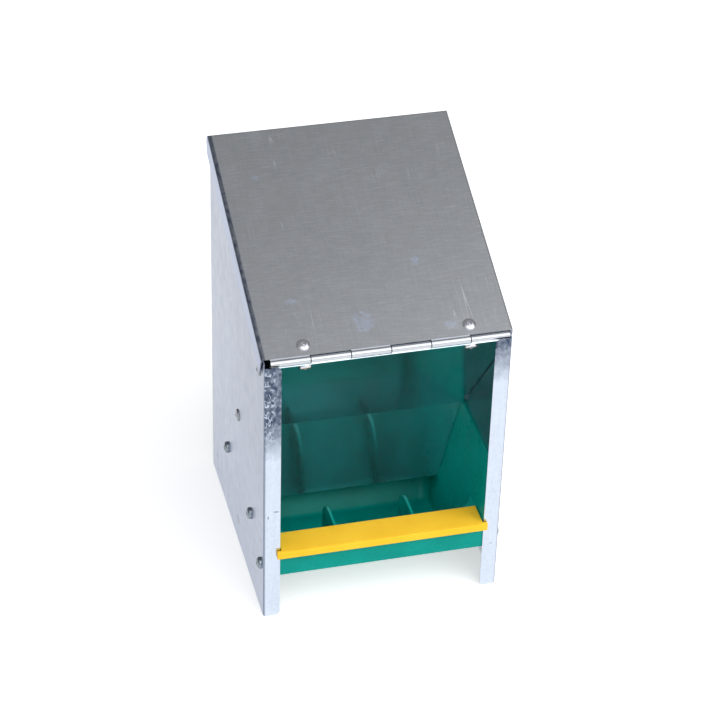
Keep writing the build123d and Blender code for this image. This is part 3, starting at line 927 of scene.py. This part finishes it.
@dataclass
class BlindRivets:
    """Blind rivets: one is modelled for each grip and copied to its places."""

    places: Places = Places()
    head_radius: float = 4.9 * MM
    head_height: float = 1.7 * MM
    rim_height: float = 0.35 * MM
    crown_steps: int = 7
    crown_land: float = 0.25 * MM
    mandrel_radius: float = 1.3 * MM
    mandrel_depth: float = 1.0 * MM
    mandrel_gap: float = 0.22 * MM
    mandrel_rise: float = 0.45 * MM
    break_inset: float = 0.3 * MM
    break_height: float = 0.12 * MM
    shank_radius: float = 2.4 * MM
    bulb_radius: float = 3.4 * MM
    bulb_seat: float = 0.05 * MM
    bulb_steps: Sequence[Numbers] = ((1.53 * MM, 1.0), (1.19 * MM, 0.86), (0.612 * MM, 0.55))
    grip: float = 1.6 * MM
    hinge_grip: float = 1.8 * MM
    lid_reach: float = 10.9 * MM
    leaf_reach: float = 7.0 * MM
    sides: int = 48
    shade_angle: float = 38.0

    def model(self, name: str, grip: float) -> Object:
        """Model a rivet along Z, its head on the plane through the origin.

        Args:
            name: Name of the pattern.
            grip: Thickness of the clamped sheets.

        Returns:
            The pattern object.
        """
        bench = Workbench(name)
        bench.cylinder(self.head_radius, 0.0, self.rim_height, self.sides)
        bench.pick_end(1)
        reach = self.head_radius - self.mandrel_radius - self.crown_land
        bench.dome(reach, self.head_height - self.rim_height, self.crown_steps)
        bench.inset(self.crown_land)
        bench.push((0, 0, -self.mandrel_depth))
        bench.inset(self.mandrel_gap)
        bench.push((0, 0, self.mandrel_rise))
        bench.inset(self.break_inset, self.break_height)
        bench.done()
        bench.pick_end(-1)
        bench.inset(self.head_radius - self.shank_radius)
        bench.sink(grip)
        bench.sink(self.bulb_seat, self.bulb_radius / self.shank_radius)
        for length, factor in self.bulb_steps:
            bench.sink(length, factor)
        bench.done()
        bench.smooth(self.shade_angle)
        return bench.obj

    def make(self, material: Material, shaded_rivet: Material) -> None:
        """Copy the rivets to their places.

        Args:
            material: Material of the rivets through the hinge leaves.
            shaded_rivet: Material of the rivets in the side panels, a darker copy of the rivet aluminium as
                painted shade.
        """
        thick = self.model("hinge_rivet_pattern", self.hinge_grip)
        thin = self.model("side_rivet_pattern", self.grip)
        for side, sign in (("left", -1), ("right", 1)):
            node = f"lid_rivet_{side}"
            place = self.places.at_hinge(node, self.places.lid_slope, self.lid_reach, 1)
            put_on(copy_to(thick, f"{node}_set", place), Body.LID, Slot.RIVET, material, [node])
            node = f"leaf_rivet_{side}"
            place = self.places.at_hinge(node, self.places.plate_slope, self.leaf_reach, -1)
            put_on(copy_to(thick, f"{node}_set", place), Body.HOUSING, Slot.RIVET, material, [node])
            for level in ("upper", "lower"):
                node = f"plate_rivet_{side}_{level}"
                made = copy_to(thin, f"{node}_set", self.places.on_side(node, sign))
                put_on(made, Body.HOUSING, Slot.RIVET, shaded_rivet, [node])
        bpy.data.objects.remove(thick)
        bpy.data.objects.remove(thin)


@dataclass
class TrayScrews:
    """Pan-head tapping screws: one is modelled and copied to all six places."""

    places: Places = Places()
    head_radius: float = 4.7 * MM
    head_height: float = 3.0 * MM
    rim_height: float = 0.9 * MM
    crown_reach: float = 2.914 * MM
    crown_steps: int = 6
    recess_width: float = 1.1 * MM
    recess_length: float = 5.0 * MM
    recess_depth: float = 1.7 * MM
    recess_over: float = 0.5 * MM
    recess_taper: Numbers = (0.45, 0.8, 1.0)
    shank_radius: float = 1.7 * MM
    neck: float = 0.6 * MM
    thread_radius: float = 2.1 * MM
    thread_turns: int = 5
    thread_flank: float = 0.448 * MM
    thread_crest: float = 0.168 * MM
    thread_root: float = 0.336 * MM
    tip: float = 0.7 * MM
    tip_taper: float = 0.4
    sides: int = 48
    shade_angle: float = 32.0
    turns: Numbers = (0.25, 0.9, 1.35, 0.6, 1.1, 0.1)

    def recess(self) -> Object:
        """Model the cutter for the cross recess, tapered towards its point.

        Returns:
            The cutter.
        """
        cutter = None
        low = (-self.recess_length / 2, -self.recess_width / 2, self.head_height - self.recess_depth)
        high = (self.recess_length / 2, self.recess_width / 2, self.head_height + self.recess_over)
        for turn in (0.0, math.pi / 2):
            bench = Workbench("recess_cutter")
            bench.cube(low, high)
            bench.pick(lambda face: face.normal.z < -FACING)
            bpy.ops.transform.resize(value=self.recess_taper, center_override=(0, 0, low[2]))
            bench.done()
            bench.obj.data.transform(Matrix.Rotation(turn, 4, "Z"))
            if cutter is not None:
                bench.modifier("BOOLEAN", operation="UNION", solver="EXACT", object=cutter)
                bpy.data.objects.remove(cutter)
            cutter = bench.obj
        return cutter

    def model(self) -> Object:
        """Model a screw along Z, its head on the plane through the origin.

        Returns:
            The pattern object.
        """
        bench = Workbench("tray_screw_pattern")
        bench.cylinder(self.head_radius, 0.0, self.rim_height, self.sides)
        bench.pick_end(1)
        bench.dome(self.crown_reach, self.head_height - self.rim_height, self.crown_steps)
        bench.done()
        bench.pick_end(-1)
        bench.inset(self.head_radius - self.shank_radius)
        bench.sink(self.neck)
        for _ in range(self.thread_turns):
            bench.sink(self.thread_flank, self.thread_radius / self.shank_radius)
            bench.sink(self.thread_crest)
            bench.sink(self.thread_flank, self.shank_radius / self.thread_radius)
            bench.sink(self.thread_root)
        bench.sink(self.tip, self.tip_taper)
        bench.done()
        cutter = self.recess()
        bench.modifier("BOOLEAN", operation="DIFFERENCE", solver="EXACT", object=cutter)
        bpy.data.objects.remove(cutter)
        bench.smooth(self.shade_angle)
        return bench.obj

    def make(self, material: Material) -> None:
        """Copy the screws to their places, each turned another way.

        Args:
            material: Material of the screws.
        """
        pattern = self.model()
        turns = iter(self.turns)
        for side, sign in (("left", -1), ("right", 1)):
            for where in ("front", "middle", "rear"):
                node = f"tray_screw_{side}_{where}"
                place = self.places.on_side(node, sign) @ Matrix.Rotation(next(turns), 4, "Z")
                made = copy_to(pattern, f"{node}_set", place)
                put_on(made, Body.HOUSING, Slot.SCREW, material, [node])
        bpy.data.objects.remove(pattern)


@dataclass
class EdgeStrip:
    """Yellow strip over the tray's front ledge, with a rounded lip in front."""

    sheet: float = 2.5 * MM
    lip_depth: float = 2.9 * MM
    ear: float = 3.4 * MM
    hook: float = 1.1 * MM
    edge_radius: float = 0.9 * MM
    edge_steps: int = 4
    edge_angle: float = 40.0
    shade_angle: float = 50.0

    def make(self, material: Material) -> None:
        """Model the strip in the place of its CAD node.

        Args:
            material: Material of the strip.
        """
        low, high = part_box("edge_strip")
        lip_rear = low.y + self.lip_depth
        hook_rear = lip_rear + self.hook
        between = high.x - self.ear
        under = high.z - self.sheet
        bench = Workbench("edge_strip_moulding")
        bench.cube((-between, hook_rear, under), (between, high.y, high.z))
        bench.pick(lambda face: face.normal.y < -FACING)
        bench.push((0, lip_rear - hook_rear, 0))
        bench.push((0, low.y - lip_rear, 0))
        bench.done()
        bench.pick(lambda face: face.normal.z < -FACING and face.center.y < hook_rear)
        bench.push((0, 0, low.z - under))
        bench.done()
        for sign in (-1, 1):
            bench.pick(lambda face: sign * face.normal.x > FACING and face.center.y < lip_rear)
            bench.push((sign * self.ear, 0, 0))
            bench.done()
        angle = math.radians(self.edge_angle)
        bench.modifier(
            "BEVEL", width=self.edge_radius, segments=self.edge_steps, limit_method="ANGLE", angle_limit=angle
        )
        bench.smooth(self.shade_angle)
        put_on(bench.obj, Body.HOUSING, Slot.YELLOW, material, ["edge_strip"])


@dataclass
class Photographer:
    """Camera at the photograph's angle and distance."""

    sensor_width: float = 36.0
    focal_length: float = 128.75
    clip_start: float = 0.1
    clip_end: float = 20.0
    elevation: float = 36.07
    azimuth: float = 15.03
    roll: float = 1.78
    position: Numbers = (-0.41226, -1.55134, 1.32925)

    def make(self) -> None:
        """Add the camera and make it the scene's own."""
        data = bpy.data.cameras.new("camera")
        data.sensor_width = self.sensor_width
        data.lens = self.focal_length
        data.clip_start = self.clip_start
        data.clip_end = self.clip_end
        camera = bpy.data.objects.new("camera", data)
        bpy.context.scene.collection.objects.link(camera)
        tilt = Matrix.Rotation(math.radians(90.0 - self.elevation), 4, "X")
        swing = Matrix.Rotation(math.radians(-self.azimuth), 4, "Z")
        lean = Matrix.Rotation(math.radians(self.roll), 4, "Z")
        camera.matrix_world = Matrix.Translation(self.position) @ swing @ tilt @ lean
        bpy.context.scene.camera = camera


class WorldGraph(Graph):
    """The node tree of the surroundings; places are directions."""

    def __init__(self, name: str) -> None:
        """Start an empty world and make it the scene's own.

        Args:
            name: Name of the world.
        """
        world = bpy.data.worlds.new(name)
        bpy.context.scene.world = world
        self.start(world, "OutputWorld", "Generated")


@dataclass(frozen=True)
class SoftLamp:
    """A square lamp that faces the feeder, with its power in watts."""

    name: str
    place: Numbers
    size: float
    power: float
    aim: Numbers = (0.0, 0.0, 0.15)

    def hang(self) -> None:
        """Add the lamp to the scene."""
        data = bpy.data.lights.new(self.name, "AREA")
        data.shape = "SQUARE"
        data.size = self.size
        data.energy = self.power
        lamp = bpy.data.objects.new(self.name, data)
        bpy.context.scene.collection.objects.link(lamp)
        aim = Vector(self.aim) - Vector(self.place)
        turn = aim.to_track_quat("-Z", "Y").to_matrix().to_4x4()
        lamp.matrix_world = Matrix.Translation(self.place) @ turn


@dataclass
class Studio:
    """Pale floor, soft surroundings that are brightest in front, and soft lamps."""

    floor_size: float = 12.0
    floor_cuts: int = 4
    floor_colour: Colour = (0.88, 0.88, 0.88)
    floor_shade: Colour = (0.86, 0.86, 0.86)
    floor_shading: Pattern = Pattern(900.0, 1.0, 0.3, 0.7, 1.0, 0.99)
    floor_relief: Relief = Relief(20.0, 0.01)
    floor_roughness: float = 0.9
    floor_glow: float = 0.5
    horizon: float = 0.26
    zenith: float = 0.36
    overhead_z: Numbers = (0.0, 0.9)
    front: float = 0.85
    front_y: Numbers = (0.1, -0.75)
    front_z: Numbers = (0.92, 0.66)
    tint: Colour = (0.97, 0.985, 1.0)
    lamps: Sequence[SoftLamp] = (
        SoftLamp("key_lamp", (0.7, -1.35, 2.3), 3.2, 46.0),
        SoftLamp("fill_lamp", (1.4, -1.2, 1.5), 1.4, 8.0),
    )

    def floor(self) -> None:
        """Lay the floor, which isn't part of the object."""
        bench = Workbench("studio_floor")
        cuts = self.floor_cuts
        bpy.ops.mesh.primitive_grid_add(x_subdivisions=cuts, y_subdivisions=cuts, size=self.floor_size)
        bench.take()
        graph = Graph("studio_floor")
        colour = graph.cover(self.floor_shade, (graph.pattern(self.floor_shading), self.floor_colour))
        relief = graph.relief(self.floor_relief)
        material = graph.finish(colour, self.floor_roughness, relief, Specular_IOR_Level=0.0)
        path = graph.node("LightPath").outputs
        rays = ("Camera", "Glossy", "Transmission")
        seen = graph.maths("MAXIMUM", *(path[f"Is {ray} Ray"] for ray in rays))
        glow = graph.node("Emission", {"Strength": graph.times(seen, self.floor_glow)})
        surface = graph.output.inputs["Surface"]
        both = graph.node("AddShader", {0: surface.links[0].from_socket, 1: glow.outputs["Emission"]})
        graph.feed(surface, both.outputs["Shader"])
        bench.obj.data.materials.append(material)

    def surroundings(self) -> None:
        """Light the scene from all round: grey overhead and bright in front."""
        graph = WorldGraph("surroundings")
        height = graph.place("Z")
        overhead = graph.level(height, *self.overhead_z, self.horizon, self.zenith)
        facing = graph.level(graph.place("Y"), *self.front_y)
        front = graph.times(facing, graph.level(height, *self.front_z), self.front)
        strength = graph.maths("ADD", overhead, front)
        strength = graph.maths("MAXIMUM", strength, graph.node("LightPath").outputs["Is Camera Ray"])
        shade = graph.node("Background", {"Strength": strength, "Color": (*self.tint, 1.0)})
        graph.feed(graph.output.inputs["Surface"], shade.outputs["Background"])

    def make(self) -> None:
        """Set up the studio."""
        self.floor()
        self.surroundings()
        for lamp in self.lamps:
            lamp.hang()
        bpy.context.scene.view_settings.view_transform = "Standard"


def dress(nodes: dict[str, Object], names: Iterable[str], material: Material) -> None:
    """Give CAD nodes a finish.

    Args:
        nodes: The CAD nodes by name.
        names: Names of the nodes to dress.
        material: The material.
    """
    for name in names:
        slots = nodes[name].data.materials
        if not slots:
            slots.append(material)
        for index in range(len(slots)):
            slots[index] = material
        LOG.info("finish %s on %s", material.name, name)


def main() -> None:
    """Load the frame, dress it, add the fine pieces and set up the studio."""
    logging.basicConfig(level=logging.INFO, format="%(name)s: %(message)s")
    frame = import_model()
    nodes = frame["nodes"]
    rivet = BrightMetal("rivet_aluminium", (0.60, 0.61, 0.65), (0.42, 0.43, 0.46)).make()
    # The side-panel rivets get a darker copy of the rivet aluminium: painted shade
    shaded_rivet = BrightMetal("rivet_painted_shade", (0.30, 0.31, 0.34), (0.13, 0.14, 0.16)).make()
    screw = BrightMetal("screw_zinc", (0.25, 0.29, 0.33), (0.10, 0.12, 0.14), 0.14).make()
    green = MouldedPlastic("green_plastic", (0.0, 0.30, 0.25), (0.0, 0.26, 0.215), (0.35, 0.55, 0.5), 0.3)
    yellow = MouldedPlastic("yellow_plastic", (1.0, 0.59, 0.035), (0.96, 0.54, 0.028), (1.0, 0.8, 0.4), 0.38)
    green, yellow = green.make(), yellow.make()
    dress(nodes, ["housing"], HousingSheet().make())
    dress(nodes, ["lid"], LidSheet().make())
    dress(nodes, ["hopper_plate"], PlateSheet().make())
    dress(nodes, ["lid_hinge_leaf", "body_hinge_leaf", "hinge_pin"], KnuckleSteel().make())
    dress(nodes, ["feed_tray"], green)
    dress(nodes, ["edge_strip"], yellow)
    dress(nodes, [name for name in nodes if "rivet" in name], rivet)
    dress(nodes, [name for name in nodes if name.startswith("plate_rivet")], shaded_rivet)
    dress(nodes, [name for name in nodes if "screw" in name], screw)
    BlindRivets().make(rivet, shaded_rivet)
    TrayScrews().make(screw)
    EdgeStrip().make(yellow)
    Studio().make()
    Photographer().make()


if __name__ == "__main__":
    main()
